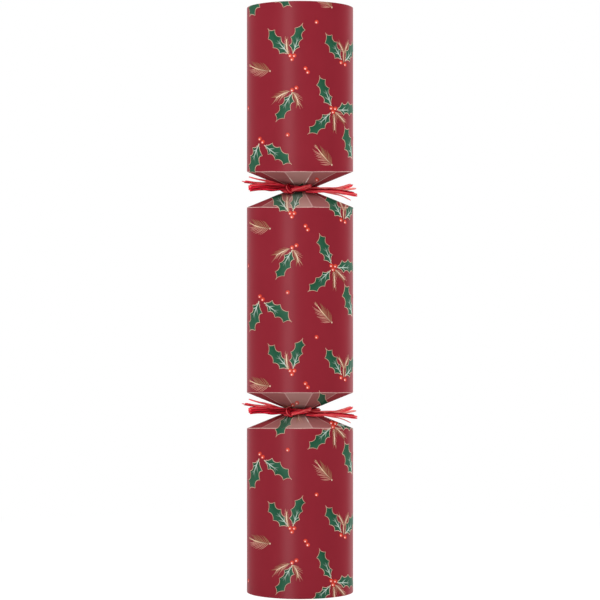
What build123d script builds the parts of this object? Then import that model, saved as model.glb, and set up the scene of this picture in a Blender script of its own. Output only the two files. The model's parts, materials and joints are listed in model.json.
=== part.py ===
from build123d import *
import math
import os

os.makedirs("parts", exist_ok=True)

# Printed board, rolled to a tube and glued along a side seam at the back
tube_diameter = 55.6
card_thickness = 0.35
barrel_length = 97.2  # fold to fold
end_length = 85.5  # rim to fold
neck_length = 18.4  # fold to fold across a choke
waist_diameter = 10.0  # across the corners of a choke's smallest ring
facet_count = 12
seam_overlap = 10.0  # width of the glued flap
seam_ramp = 4.0  # width over which the outer edge lifts off the flap
seam_step = 0.25  # height of the outer edge above the flap
seam_relief = 1.5  # the flap stops this far from a fold

# Raffia tied round each waist
strand_diameter = 1.1
strand_gap = 0.45
tie_clearance = 0.3  # between raffia and board
crossing_room = 0.35  # extra height where the two tails cross
left_overhangs = (-0.1, 2.4, 0.8, -1.4)  # past the tube's side, inner strand first
left_heights = (6.7, 4.2, 2.4, 1.2)  # above the waist
right_overhangs = (-0.7, 2.4, 2.3, 0.1)
right_heights = (-6.1, -2.8, 0.4, 2.2)

# Snap, two card strips that lap in the middle of the barrel
snap_length = 230.0
snap_overlap = 44.0
snap_width = 6.0
snap_strip_thickness = 0.4
patch_length = 15.0
patch_width = 5.0
patch_thickness = 0.1
patch_gap = 0.1  # between the two patches
sleeve_length = 40.0
sleeve_paper = 0.2
sleeve_clearance = 0.2
strip_clearance = 0.05  # where a choke's pleats hold a strip
snap_passage = 0.3  # round the sleeve where it leaves the barrel

# Contents, loose in the barrel
contents_gap = 0.6  # to the tube's wall
contents_seat = 0.3  # above the pleats or the board
crown_snap_gap = 2.55  # from the rolled crown to the snap's sleeve
crown_height = 66.0
crown_sheet = 0.8  # folded tissue, several layers together
crown_half_turns = 8
crown_core_radius = 4.0
crown_points = 6
crown_point_depth = 9.0
motto_diameter = 8.0
motto_height = 48.0
motto_sheet = 0.3
motto_half_turns = 4
motto_core_radius = 1.9
motto_facet = 7  # facets round from the right side
top_snap_gap = 1.1  # from the top's rim to the width of the snap's sleeve
top_disc_height = 6.0
top_rim_height = 2.4
top_bore_clearance = 0.05
spindle_diameter = 4.0
spindle_tip_height = 8.0
spindle_tip_diameter = 1.2
spindle_stem_height = 12.0
spindle_collar_diameter = 7.0
spindle_collar_height = 1.5
spindle_knob_diameter = 5.0
top_facet = 10

# Places that follow from the sizes above
strand_count = len(left_heights)
tube_radius = tube_diameter / 2
waist_radius = waist_diameter / 2
half_neck = neck_length / 2
facet_step = 360 / facet_count
half_facet = facet_step / 2
corner_ratio = 1 / math.cos(math.radians(half_facet))
ridge_slope = half_neck / (tube_radius - waist_radius)
ridge_angle = math.atan(ridge_slope)
facet_angle = math.atan(ridge_slope * corner_ratio)
lower_fold_z = end_length
lower_waist_z = lower_fold_z + half_neck
barrel_low_z = lower_waist_z + half_neck
barrel_high_z = barrel_low_z + barrel_length
middle_z = (barrel_low_z + barrel_high_z) / 2
upper_waist_z = barrel_high_z + half_neck
upper_fold_z = upper_waist_z + half_neck
overall_length = upper_fold_z + end_length
end_depth = half_neck + end_length
barrel_half_depth = half_neck + barrel_length / 2
lower_waist_up = Plane((0, 0, lower_waist_z), x_dir=(1, 0, 0), z_dir=(0, 0, 1))
lower_waist_down = Plane((0, 0, lower_waist_z), x_dir=(1, 0, 0), z_dir=(0, 0, -1))
upper_waist_up = Plane((0, 0, upper_waist_z), x_dir=(1, 0, 0), z_dir=(0, 0, 1))
upper_waist_down = Plane((0, 0, upper_waist_z), x_dir=(1, 0, 0), z_dir=(0, 0, -1))


def polar(radius, degrees):
    angle = math.radians(degrees)
    return (radius * math.cos(angle), radius * math.sin(angle))


# The folded choke. Each facet is one face of a pyramid that cuts the round tube, which
# gives the arched fold. The board that the smaller ring has no room for is folded
# inwards along each ridge, as a double pleat.
spare_board = 2 * math.pi * tube_radius / facet_count
spare_board = spare_board - 2 * waist_radius * math.sin(math.radians(half_facet))
pleat_depth = spare_board / 2
pleat_root = card_thickness / 2  # the pleat's edge lies in the middle of the board
crest_reach = waist_radius - pleat_depth * math.sin(ridge_angle)
crest_height = pleat_depth * math.cos(ridge_angle)


def closing_tube(waist, waist_corner, radius, depth):
    flare_corner = radius * corner_ratio + card_thickness
    flare_height = (flare_corner - waist_corner) * ridge_slope
    with BuildPart() as tube:
        with BuildSketch(waist):
            RegularPolygon(waist_corner, facet_count, rotation=half_facet)
        with BuildSketch(waist.offset(flare_height)):
            RegularPolygon(flare_corner, facet_count, rotation=half_facet)
        loft(ruled=True)
        with BuildSketch(waist.offset(flare_height)):
            RegularPolygon(flare_corner, facet_count, rotation=half_facet)
        extrude(amount=depth - flare_height)
        with BuildSketch(waist):
            Circle(radius)
        extrude(amount=depth, mode=Mode.INTERSECT)
    return tube.part


def folded_section(waist, depth):
    wall_run = card_thickness / math.sin(facet_angle) * corner_ratio
    across = (-math.sin(ridge_angle), math.cos(ridge_angle))
    heel = (waist_radius + across[0] * pleat_root, across[1] * pleat_root)
    fold = (tube_radius + across[0] * pleat_root, half_neck + across[1] * pleat_root)
    outside = closing_tube(waist, waist_radius, tube_radius, depth)
    inside = closing_tube(waist, waist_radius - wall_run, tube_radius - card_thickness, depth)
    with BuildPart() as section:
        add(outside)
        add(inside, mode=Mode.SUBTRACT)
        for index in range(facet_count):
            ridge = Vector(*polar(1, half_facet + index * facet_step))
            with BuildSketch(Plane(waist.origin, x_dir=ridge, z_dir=ridge.cross(waist.z_dir))):
                with BuildLine():
                    Polyline(heel, fold, (crest_reach, crest_height), close=True)
                make_face()
        extrude(amount=card_thickness, both=True)
    return section.part


# The glued side seam, a flap inside the tube and a stepped edge outside
seam_edge = 90 + math.degrees(seam_overlap / 2 / tube_radius)
ramp_end = seam_edge + math.degrees(seam_ramp / tube_radius)
flap_start = seam_edge - math.degrees(seam_overlap / tube_radius)
flap_outer = tube_radius - card_thickness
flap_inner = flap_outer - card_thickness


def seam_flap(low, high):
    with BuildPart() as flap:
        with BuildSketch(Plane.XY.offset(low)):
            with BuildLine():
                outer = CenterArc((0, 0), flap_outer, flap_start, ramp_end - flap_start)
                inner = CenterArc((0, 0), flap_inner, flap_start, ramp_end - flap_start)
                Line(outer @ 0, inner @ 0)
                Line(outer @ 1, inner @ 1)
            make_face()
        extrude(amount=high - low)
    return flap.part


def seam_cut(low, high):
    outside = tube_radius + card_thickness
    with BuildPart() as cut:
        with BuildSketch(Plane.XY.offset(low)):
            with BuildLine():
                Polyline(
                    polar(tube_radius - seam_step, seam_edge),
                    polar(outside, seam_edge),
                    polar(outside, ramp_end),
                    polar(tube_radius, ramp_end),
                    close=True,
                )
            make_face()
        extrude(amount=high - low)
    return cut.part


# Snap, in the middle of the tube, with the strips face to face
strip_face = patch_gap / 2 + patch_thickness
strip_middle = strip_face + snap_strip_thickness / 2
strip_back = strip_face + snap_strip_thickness
snap_low_z = middle_z - snap_length / 2
snap_high_z = middle_z + snap_length / 2
lap_low_z = middle_z - snap_overlap / 2
lap_high_z = middle_z + snap_overlap / 2
sleeve_width = snap_width + 2 * sleeve_clearance + 2 * sleeve_paper
sleeve_low_y = -strip_back - sleeve_paper
sleeve_high_y = strip_back + sleeve_clearance + sleeve_paper
sleeve_depth = sleeve_high_y - sleeve_low_y
sleeve_middle = (sleeve_low_y + sleeve_high_y) / 2
strip_slot_width = snap_width + 2 * strip_clearance
strip_slot_depth = snap_strip_thickness + 2 * strip_clearance
sleeve_slot_width = sleeve_width + 2 * snap_passage
sleeve_slot_depth = sleeve_depth + 2 * snap_passage

barrel_lower_half = folded_section(lower_waist_up, barrel_half_depth)
barrel_upper_half = folded_section(upper_waist_down, barrel_half_depth)
barrel_flap = seam_flap(barrel_low_z + seam_relief, barrel_high_z - seam_relief)
barrel_seam_cut = seam_cut(barrel_low_z + seam_relief, barrel_high_z - seam_relief)
with BuildPart() as barrel_card:
    add(barrel_lower_half)
    add(barrel_upper_half)
    add(barrel_flap)
    add(barrel_seam_cut, mode=Mode.SUBTRACT)
    with BuildSketch(Plane((0, sleeve_middle, lower_waist_z))):
        Rectangle(sleeve_slot_width, sleeve_slot_depth)
    extrude(amount=upper_waist_z - lower_waist_z, mode=Mode.SUBTRACT)
barrel_card.part.label = "barrel_card"
export_step(barrel_card.part, "parts/barrel_card.step")

upper_end_section = folded_section(upper_waist_up, end_depth)
upper_flap = seam_flap(upper_fold_z + seam_relief, overall_length)
upper_seam_cut = seam_cut(upper_fold_z + seam_relief, overall_length)
with BuildPart() as upper_end_card:
    add(upper_end_section)
    add(upper_flap)
    add(upper_seam_cut, mode=Mode.SUBTRACT)
    with BuildSketch(Plane((0, strip_middle, upper_waist_z))):
        Rectangle(strip_slot_width, strip_slot_depth)
    extrude(amount=end_depth, mode=Mode.SUBTRACT)
upper_end_card.part.label = "upper_end_card"
export_step(upper_end_card.part, "parts/upper_end_card.step")

lower_end_section = folded_section(lower_waist_down, end_depth)
lower_flap = seam_flap(0, lower_fold_z - seam_relief)
lower_seam_cut = seam_cut(0, lower_fold_z - seam_relief)
with BuildPart() as lower_end_card:
    add(lower_end_section)
    add(lower_flap)
    add(lower_seam_cut, mode=Mode.SUBTRACT)
    with BuildSketch(Plane((0, -strip_middle, 0))):
        Rectangle(strip_slot_width, strip_slot_depth)
    extrude(amount=lower_waist_z, mode=Mode.SUBTRACT)
lower_end_card.part.label = "lower_end_card"
export_step(lower_end_card.part, "parts/lower_end_card.step")

# Raffia tie. Each strand comes in from the left tail, goes once round the neck while it
# drops below itself, and leaves as the right tail.
strand_radius = strand_diameter / 2
strand_pitch = strand_diameter + strand_gap
turn_drop = strand_pitch + crossing_room
ring_radius = turn_drop / 2 * math.cos(ridge_angle) + strand_radius + tie_clearance
ring_radius = waist_radius + ring_radius / math.sin(ridge_angle)
gap_samples = 60  # points on each arc where the gaps are measured


def strand_route(index, waist_z):
    loop = ring_radius + index * strand_pitch
    start = Vector(0, -loop, waist_z + turn_drop / 2)
    back = Vector(0, loop, waist_z)
    finish = Vector(0, -loop, waist_z - turn_drop / 2)
    bulge = Vector((start - back).length / 2, 0, 0)
    left_tip = Vector(-tube_radius - left_overhangs[index], -loop, waist_z + left_heights[index])
    right_tip = Vector(tube_radius + right_overhangs[index], -loop, waist_z + right_heights[index])
    with BuildLine() as route:
        tail = TangentArc(start, left_tip, tangent=(-1, 0, 0), mode=Mode.PRIVATE)
        ThreePointArc(left_tip, tail @ 0.5, start)
        ThreePointArc(start, (start + back) / 2 + bulge, back)
        ThreePointArc(back, (back + finish) / 2 - bulge, finish)
        TangentArc(finish, right_tip, tangent=(1, 0, 0))
    return route.wire()


def least_gaps(routes):
    rows = []
    for route in routes:
        edges = route.edges()
        rows.append([edge @ (step / gap_samples) for edge in edges for step in range(gap_samples)])
    own = []
    other = []
    for row in rows:
        for first, point in enumerate(row):
            own += [(point - far).length for far in row[first + gap_samples :]]
    for first, row in enumerate(rows):
        for far_row in rows[first + 1 :]:
            other += [(point - far).length for point in row for far in far_row]
    return min(own) - strand_diameter, min(other) - strand_diameter


upper_routes = [strand_route(index, upper_waist_z) for index in range(strand_count)]
lower_routes = [strand_route(index, lower_waist_z) for index in range(strand_count)]
own_gap, other_gap = least_gaps(upper_routes)
tie_length = sum(route.length for route in upper_routes)
print(f"raffia: gap of a strand to itself {own_gap:.2f}, to the next {other_gap:.2f} mm")
print(f"raffia: {tie_length:.0f} mm in {strand_count} strands on each neck")

with BuildPart() as upper_raffia_tie:
    for route in upper_routes:
        with BuildSketch(Plane(route @ 0, z_dir=route % 0)):
            Circle(strand_radius)
        sweep(path=route)
upper_raffia_tie.part.label = "upper_raffia_tie"
export_step(upper_raffia_tie.part, "parts/upper_raffia_tie.step")

with BuildPart() as lower_raffia_tie:
    for route in lower_routes:
        with BuildSketch(Plane(route @ 0, z_dir=route % 0)):
            Circle(strand_radius)
        sweep(path=route)
lower_raffia_tie.part.label = "lower_raffia_tie"
export_step(lower_raffia_tie.part, "parts/lower_raffia_tie.step")

with BuildPart() as snap_upper_strip:
    with BuildSketch(Plane((0, strip_middle, lap_low_z))):
        Rectangle(snap_width, snap_strip_thickness)
    extrude(amount=snap_high_z - lap_low_z)
snap_upper_strip.part.label = "snap_upper_strip"
export_step(snap_upper_strip.part, "parts/snap_upper_strip.step")

with BuildPart() as snap_lower_strip:
    with BuildSketch(Plane((0, -strip_middle, snap_low_z))):
        Rectangle(snap_width, snap_strip_thickness)
    extrude(amount=lap_high_z - snap_low_z)
snap_lower_strip.part.label = "snap_lower_strip"
export_step(snap_lower_strip.part, "parts/snap_lower_strip.step")

patch_middle = (patch_gap + patch_thickness) / 2
with BuildPart() as snap_friction_patch:
    with BuildSketch(Plane((0, patch_middle, middle_z - patch_length / 2))):
        Rectangle(patch_width, patch_thickness)
    extrude(amount=patch_length)
snap_friction_patch.part.label = "snap_friction_patch"
export_step(snap_friction_patch.part, "parts/snap_friction_patch.step")

with BuildPart() as snap_powder_patch:
    with BuildSketch(Plane((0, -patch_middle, middle_z - patch_length / 2))):
        Rectangle(patch_width, patch_thickness)
    extrude(amount=patch_length)
snap_powder_patch.part.label = "snap_powder_patch"
export_step(snap_powder_patch.part, "parts/snap_powder_patch.step")

with BuildPart() as snap_sleeve:
    with BuildSketch(Plane((0, sleeve_middle, middle_z - sleeve_length / 2))):
        Rectangle(sleeve_width, sleeve_depth)
        Rectangle(
            sleeve_width - 2 * sleeve_paper,
            sleeve_depth - 2 * sleeve_paper,
            mode=Mode.SUBTRACT,
        )
    extrude(amount=sleeve_length)
snap_sleeve.part.label = "snap_sleeve"
export_step(snap_sleeve.part, "parts/snap_sleeve.step")

# Contents. They stand on the pleats of the lower choke, against the tube's wall.
contents_reach = tube_radius - 2 * card_thickness - contents_gap
crown_diameter = contents_reach - sleeve_high_y - crown_snap_gap
top_diameter = contents_reach - sleeve_width / 2 - top_snap_gap


def pleat_top(reach):
    share = (reach - crest_reach) / (tube_radius - crest_reach)
    return crest_height + share * (half_neck - crest_height)


def board_top(reach):
    return (reach * corner_ratio - waist_radius) * ridge_slope + card_thickness / math.cos(facet_angle)


contents_floor = lower_waist_z + pleat_top(contents_reach) + contents_seat


# A sheet rolled up in half turns, whose edges are arcs about two centres in turn
def rolled_sheet(plane, core_radius, outer_radius, half_turns, sheet, height):
    growth = (outer_radius - core_radius - sheet / 2) / half_turns
    with BuildPart() as roll:
        with BuildSketch(plane):
            with BuildLine():
                for edge in (-sheet / 2, sheet / 2):
                    for index in range(half_turns):
                        odd = index % 2
                        radius = core_radius + index * growth + edge
                        CenterArc((0, -growth * odd), radius, 180 * odd - 90, 180)
                first = -core_radius
                last = core_radius + (half_turns - 1) * growth
                if half_turns % 2 == 0:
                    last = -last - growth
                Line((0, first - sheet / 2), (0, first + sheet / 2))
                Line((0, last - sheet / 2), (0, last + sheet / 2))
            make_face()
        extrude(amount=height)
    print(f"rolled sheet: {half_turns / 2:.1f} turns, {2 * growth - sheet:.2f} mm between them")
    return roll.part


crown_plane = Plane((0, contents_reach - crown_diameter / 2, contents_floor))
crown_top = crown_plane.origin + Vector(0, 0, crown_height)
notch_half = math.pi * crown_diameter / crown_points / 4
crown_roll = rolled_sheet(
    crown_plane, crown_core_radius, crown_diameter / 2, crown_half_turns, crown_sheet, crown_height
)
with BuildPart() as paper_crown:
    add(crown_roll)
    for index in range(crown_points // 2):
        across = Vector(*polar(1, index * 360 / crown_points))
        with BuildSketch(Plane(crown_top, x_dir=across, z_dir=across.cross(Vector(0, 0, 1)))):
            with BuildLine():
                Polyline((-notch_half, 0), (notch_half, 0), (0, -crown_point_depth), close=True)
            make_face()
    extrude(amount=crown_diameter, both=True, mode=Mode.SUBTRACT)
paper_crown.part.label = "paper_crown"
export_step(paper_crown.part, "parts/paper_crown.step")

motto_middle = polar(contents_reach - motto_diameter / 2, motto_facet * facet_step)
motto_plane = Plane((*motto_middle, contents_floor))
motto_roll = rolled_sheet(
    motto_plane, motto_core_radius, motto_diameter / 2, motto_half_turns, motto_sheet, motto_height
)
with BuildPart() as motto_slip:
    add(motto_roll)
motto_slip.part.label = "motto_slip"
export_step(motto_slip.part, "parts/motto_slip.step")

# Spinning top, with its tip on the board between two pleats
top_reach = contents_reach - top_diameter / 2
top_floor = lower_waist_z + board_top(top_reach + spindle_tip_diameter / 2) + contents_seat
spindle_radius = spindle_diameter / 2
collar_z = spindle_tip_height - spindle_collar_height
stem_z = spindle_tip_height + top_disc_height
knob_z = stem_z + spindle_stem_height
top_plane = Plane((*polar(top_reach, top_facet * facet_step), top_floor), x_dir=(1, 0, 0), z_dir=(0, -1, 0))
bore_radius = spindle_radius + top_bore_clearance
with BuildPart() as top_disc:
    rim_low = (top_disc_height - top_rim_height) / 2
    with BuildSketch(top_plane):
        with BuildLine():
            Polyline(
                (top_diameter / 2, spindle_tip_height + rim_low + top_rim_height),
                (spindle_collar_diameter / 2, stem_z),
                (bore_radius, stem_z),
                (bore_radius, spindle_tip_height),
                (spindle_collar_diameter / 2, spindle_tip_height),
                (top_diameter / 2, spindle_tip_height + rim_low),
                close=True,
            )
        make_face()
    revolve(axis=Axis(top_plane.origin, (0, 0, 1)))
top_disc.part.label = "top_disc"
export_step(top_disc.part, "parts/top_disc.step")

with BuildPart() as top_spindle:
    with BuildSketch(top_plane):
        with BuildLine():
            Polyline(
                (0, 0),
                (spindle_tip_diameter / 2, 0),
                (spindle_radius, collar_z / 2),
                (spindle_radius, collar_z),
                (spindle_collar_diameter / 2, collar_z),
                (spindle_collar_diameter / 2, spindle_tip_height),
                (spindle_radius, spindle_tip_height),
                (spindle_radius, knob_z - spindle_knob_diameter / 2),
                (spindle_knob_diameter / 2, knob_z - spindle_radius),
                (spindle_knob_diameter / 2, knob_z - spindle_radius / 2),
                (spindle_radius, knob_z),
                (0, knob_z),
                close=True,
            )
        make_face()
    revolve(axis=Axis(top_plane.origin, (0, 0, 1)))
top_spindle.part.label = "top_spindle"
export_step(top_spindle.part, "parts/top_spindle.step")
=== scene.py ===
import json
import math
import random
import bpy
from mathutils import Matrix, Vector


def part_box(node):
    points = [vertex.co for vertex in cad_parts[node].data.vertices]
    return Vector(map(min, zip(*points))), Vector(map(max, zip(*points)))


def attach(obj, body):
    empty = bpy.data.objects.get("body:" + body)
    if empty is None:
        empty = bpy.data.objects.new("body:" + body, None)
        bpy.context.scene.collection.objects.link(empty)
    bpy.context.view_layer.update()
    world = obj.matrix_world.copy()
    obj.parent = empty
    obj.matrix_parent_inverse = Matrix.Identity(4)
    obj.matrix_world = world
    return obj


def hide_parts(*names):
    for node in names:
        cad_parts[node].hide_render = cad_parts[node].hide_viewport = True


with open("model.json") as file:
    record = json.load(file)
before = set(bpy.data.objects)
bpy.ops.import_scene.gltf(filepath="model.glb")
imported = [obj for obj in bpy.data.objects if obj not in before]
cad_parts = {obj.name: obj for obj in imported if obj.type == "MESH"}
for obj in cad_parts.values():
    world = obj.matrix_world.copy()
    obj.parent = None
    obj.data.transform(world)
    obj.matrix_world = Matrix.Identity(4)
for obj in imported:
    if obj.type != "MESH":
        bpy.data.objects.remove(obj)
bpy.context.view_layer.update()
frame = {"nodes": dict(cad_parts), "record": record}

scene = bpy.context.scene
mm = 0.001
hair = 0.02 * mm  # keeps neighbouring faces apart
speck = 0.002 * mm  # points nearer together count as one

# sizes that come from the frame
mounts = {mount["name"]: mount for mount in frame["record"]["mounts"]}
tubeRadius = mounts["upper_end_outside"]["dims"]["r_mm"] * mm
endLength = mounts["upper_end_outside"]["dims"]["length_mm"] * mm
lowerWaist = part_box("barrel_card")[0].z
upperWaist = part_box("barrel_card")[1].z
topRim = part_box("upper_end_card")[1].z
halfNeck = topRim - endLength - upperWaist
girth = 2 * math.pi * tubeRadius


def linear(code):  # sRGB hex to linear
    parts = [int(code[i:i + 2], 16) / 255 for i in (1, 3, 5)]
    return [p / 12.92 if p <= 0.04045 else ((p + 0.055) / 1.055) ** 2.4 for p in parts] + [1.0]


def addNode(tree, kind, inputs=None, **settings):
    made = tree.nodes.new(kind)
    for key, value in settings.items():
        setattr(made, key, value)
    for key, value in (inputs or {}).items():
        if isinstance(value, bpy.types.Node):  # stands for the first output that it has in use
            value = next(socket for socket in value.outputs if socket.enabled)
        if isinstance(value, bpy.types.NodeSocket):
            tree.links.new(value, made.inputs[key])
        else:
            made.inputs[key].default_value = value
    return made


def newMaterial(name):
    material = bpy.data.materials.new(name)
    material.use_nodes = True
    material.node_tree.nodes.clear()
    return material, material.node_tree


def finished(material, shader):
    addNode(material.node_tree, "ShaderNodeOutputMaterial", {"Surface": shader})
    return material


def only(*pieces):  # select these and nothing else
    bpy.ops.object.select_all(action="DESELECT")
    for piece in pieces:
        piece.select_set(True)
    bpy.context.view_layer.objects.active = pieces[0]


def applied(piece, kind, **settings):  # add a modifier and apply it
    only(piece)
    modifier = piece.modifiers.new(kind.lower(), kind)
    for key, value in settings.items():
        setattr(modifier, key, value)
    bpy.ops.object.modifier_apply(modifier=modifier.name)


def edited(piece, *steps):  # each step is an operator for the whole mesh, with its settings
    only(piece)
    bpy.ops.object.mode_set(mode="EDIT")
    for operator, settings in steps:
        bpy.ops.mesh.select_all(action="SELECT")
        operator(**settings)
    bpy.ops.object.mode_set(mode="OBJECT")


def flatCut(point, normal, low=False, high=False):  # a step that bisects, and may clear one side
    return bpy.ops.mesh.bisect, {
        "plane_co": point, "plane_no": Vector(normal).normalized(),
        "clear_inner": low, "clear_outer": high, "threshold": speck}


def rowCut(v, sign=1, **clear):  # across flat print
    return flatCut((0, v, 0), (0, sign, 0), **clear)


def columnCut(u, **clear):  # up flat print
    return flatCut((u, 0, 0), (1, 0, 0), **clear)


def joined(pieces, name):
    only(*pieces)
    if len(pieces) > 1:
        bpy.ops.object.join()
    piece = bpy.context.view_layer.objects.active
    bpy.ops.object.transform_apply(location=True, rotation=True, scale=True)
    piece.name = piece.data.name = name
    return piece


def copied(source):  # a copy with a mesh of its own
    copy = source.copy()
    copy.data = source.data.copy()
    scene.collection.objects.link(copy)
    return copy


def pointValues(piece, label, values):  # a value at each point, for the materials to read
    layer = piece.data.attributes.new(label, "FLOAT", "POINT")
    layer.data.foreach_set("value", values)


def flatMap(piece, name, places):  # the piece's only UV map, from a place for each point
    while piece.data.uv_layers:
        piece.data.uv_layers.remove(piece.data.uv_layers[0])
    layer = piece.data.uv_layers.new(name=name)
    for loop in piece.data.loops:
        layer.data[loop.index].uv = places[loop.vertex_index]


def grained(name, finish):  # two tones of one stuff, drawn out along its grain, with the same grain in relief
    material, tree = newMaterial(name)
    place = addNode(tree, "ShaderNodeTexCoord")
    scale = tuple(1 / (size * mm) for size in finish["grainMm"])
    grain = addNode(tree, "ShaderNodeMapping", {"Vector": place.outputs["Object"], "Scale": scale})
    noise = addNode(tree, "ShaderNodeTexNoise", {
        "Vector": grain, "Scale": 1.0,
        "Detail": finish.get("detail", 4.0), "Roughness": finish.get("raggedness", 0.6)})
    low, high = finish.get("contrast", (0.3, 0.7))
    sharp = addNode(tree, "ShaderNodeMapRange", {0: noise, 1: low, 2: high, 3: 0.0, 4: 1.0})
    colour = addNode(tree, "ShaderNodeMix", {
        0: sharp, 6: linear(finish["colours"][0]), 7: linear(finish["colours"][1])}, data_type="RGBA")
    surface = {"Base Color": colour, "Roughness": finish["roughness"]}
    if finish["bump"]:
        surface["Normal"] = addNode(tree, "ShaderNodeBump", {
            "Height": noise, "Strength": finish["bump"], "Distance": finish.get("relief", 0.15) * mm})
    return finished(material, addNode(tree, "ShaderNodeBsdfPrincipled", surface))


# the folded board
fold = {
    "facets": 12,
    "waistRadius": 5.0 * mm,
    "arch": 0.35,  # how far each fold arches, against a flat facet's
    "board": 0.35 * mm,
    "creaseRound": 0.1 * mm,  # softness of the folds
    "ridgeHighlightBand": 0.5 * mm,  # bands of painted highlight along the ridges, and along the folds below
    "foldHighlightBand": 0.9 * mm,
    "columns": 360,
    "seamStep": 0.25 * mm,
    "seamRamp": 4.0 * mm,
    "seamOverlap": 10.0 * mm,
    "seamStart": 1.0 * mm,  # the step starts this far from a fold
    "seamFade": 2.0 * mm,
    "flapClear": 3.5 * mm,  # and the flap inside this far
    "pleatBoard": 0.62 * mm,  # two layers pressed together
    "pleatInset": 0.3 * mm,
    "pleatBevel": 0.12 * mm,
    "endLean": 0.062,  # rise of a fold from front to back
    "barrelLean": 0.045,
    "leanReach": 14.0 * mm,
    "turn": math.radians(-1.5),  # the front facet looks a little to one side
    "tones": (1.0, 0.47, 0.1, 0.05),  # painted sheen: how pale each facet is painted, from those at front and back to the sides
    "smooth": math.radians(32),
}
facetStep = 2 * math.pi / fold["facets"]
facetHalf = facetStep / 2
facetWidth = girth / fold["facets"]
ridgeSlope = halfNeck / (tubeRadius - fold["waistRadius"])
facetAngle = math.atan(ridgeSlope / math.cos(facetHalf))
frontAngle = -math.pi / 2
frontFacet = frontAngle + fold["turn"]
seamAngle = math.pi / 2 + fold["seamOverlap"] / 2 / tubeRadius
sections = {
    "upperEnd": {"low": upperWaist, "high": topRim, "chokes": ("low",),
                 "node": "upper_end_card", "body": "upper_end"},
    "barrel": {"low": lowerWaist, "high": upperWaist, "chokes": ("low", "high"),
               "node": "barrel_card", "body": "barrel"},
    "lowerEnd": {"low": 0.0, "high": lowerWaist, "chokes": ("high",),
                 "node": "lower_end_card", "body": "lower_end"},
}
# heights from a waist where the board is divided, closest at the arched fold
chokeRows = [row * mm for row in (0.5, 2, 3.5, 5, 6.5, 8, 8.6)]
chokeRows += [(8.84 + 0.08 * i) * mm for i in range(17)]
chokeRows += [row * mm for row in (10.6, 12, 14)]


def waistAt(section, end):  # which way is away from the waist at that end, and where the waist is
    return (1, section["low"]) if end == "low" else (-1, section["high"])


def nearestWaist(section, z):
    upper = z >= (section["low"] + section["high"]) / 2
    return waistAt(section, section["chokes"][-1 if upper else 0])


def drawnIn(section, waistGap, rimGap):  # the section's ends, less one gap at a waist and one at a rim
    low, high = (waistGap if end in section["chokes"] else rimGap for end in ("low", "high"))
    return section["low"] + low, section["high"] - high


def offFacet(angle):  # angle from the middle of the nearest facet
    return (angle - frontFacet + facetHalf) % facetStep - facetHalf


def archHeight(off):  # height of the arched fold above the waist
    flat = ridgeSlope * (tubeRadius * math.cos(off) / math.cos(facetHalf) - fold["waistRadius"])
    return halfNeck + fold["arch"] * (flat - halfNeck)


def facetReach(off, height):  # a facet's outside from the axis, ruled from the fold to the straight waist
    waist = fold["waistRadius"] * math.cos(facetHalf) / math.cos(off)
    return waist + (tubeRadius - waist) * height / archHeight(off)


def boardReach(angle, height):  # the board's outside from the axis, share of the painted highlight near a fold or ridge, and if a facet
    off = offFacet(angle)
    facet, beside = facetReach(off, height), facetReach(facetStep - abs(off), height)
    least = min(tubeRadius, facet)
    soft = fold["creaseRound"]
    total = sum(math.exp(-(reach - least) / soft) for reach in (tubeRadius, facet, beside))
    # painted highlight: a pale band along each fold and each ridge
    paintedFoldHighlight = max(0.0, 1 - abs(tubeRadius - facet) / fold["foldHighlightBand"])
    if facet < tubeRadius:
        paintedFoldHighlight = max(paintedFoldHighlight, 1 - facet * (facetHalf - abs(off)) / fold["ridgeHighlightBand"])
    return least - soft * math.log(total), paintedFoldHighlight, facet < tubeRadius


def foldLean(section, y, height):  # rise of the board near a fold, nearer the tie at the front of an end
    slope = -fold["barrelLean"] if len(section["chokes"]) == 2 else fold["endLean"]
    share = height / halfNeck if height < halfNeck else 1 - (height - halfNeck) / fold["leanReach"]
    return slope * y * max(0.0, share)


# painted sheen: facets at front and back are painted palest, those at the sides hardly at all
def paintedFacetSheen(angle):
    half = fold["facets"] // 2
    index = round((angle - frontFacet) / facetStep) % half
    return fold["tones"][min(index, half - index)]


def seamDrop(angle, height):  # the flap lies lower just past the glued edge
    past = ((angle - seamAngle) % (2 * math.pi)) * tubeRadius
    if past > fold["seamRamp"]:
        return 0.0
    fade = min(1.0, max(0.0, (height - halfNeck - fold["seamStart"]) / fold["seamFade"]))
    return fold["seamStep"] * (1 - past / fold["seamRamp"]) * fade


def pleat(section, end, index):  # spare board folded inwards along a ridge
    sign, base = waistAt(section, end)
    depth = facetWidth / 2 - fold["waistRadius"] * math.sin(facetHalf)
    lean = math.atan(ridgeSlope)
    inward = Vector((-math.sin(lean), math.cos(lean)))
    heel = Vector((fold["waistRadius"], 0)) + inward * fold["pleatInset"]
    outer = Vector((tubeRadius, halfNeck)) + inward * fold["pleatInset"]
    crest = Vector((fold["waistRadius"], 0)) + inward * depth
    bpy.ops.mesh.primitive_circle_add(vertices=3, radius=depth, fill_type="NGON")
    piece = bpy.context.object
    for vertex, place in zip(piece.data.vertices, (heel, outer, crest)):
        vertex.co = (place.x, 0, base + sign * place.y)
    applied(piece, "SOLIDIFY", thickness=fold["pleatBoard"], offset=0)
    applied(piece, "BEVEL", width=fold["pleatBevel"], segments=2)
    piece.data.transform(Matrix.Rotation(frontFacet + facetHalf + index * facetStep, 4, "Z"))
    for vertex in piece.data.vertices:
        vertex.co.z += sign * foldLean(section, vertex.co.y, abs(vertex.co.z - base))
    return piece


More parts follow.
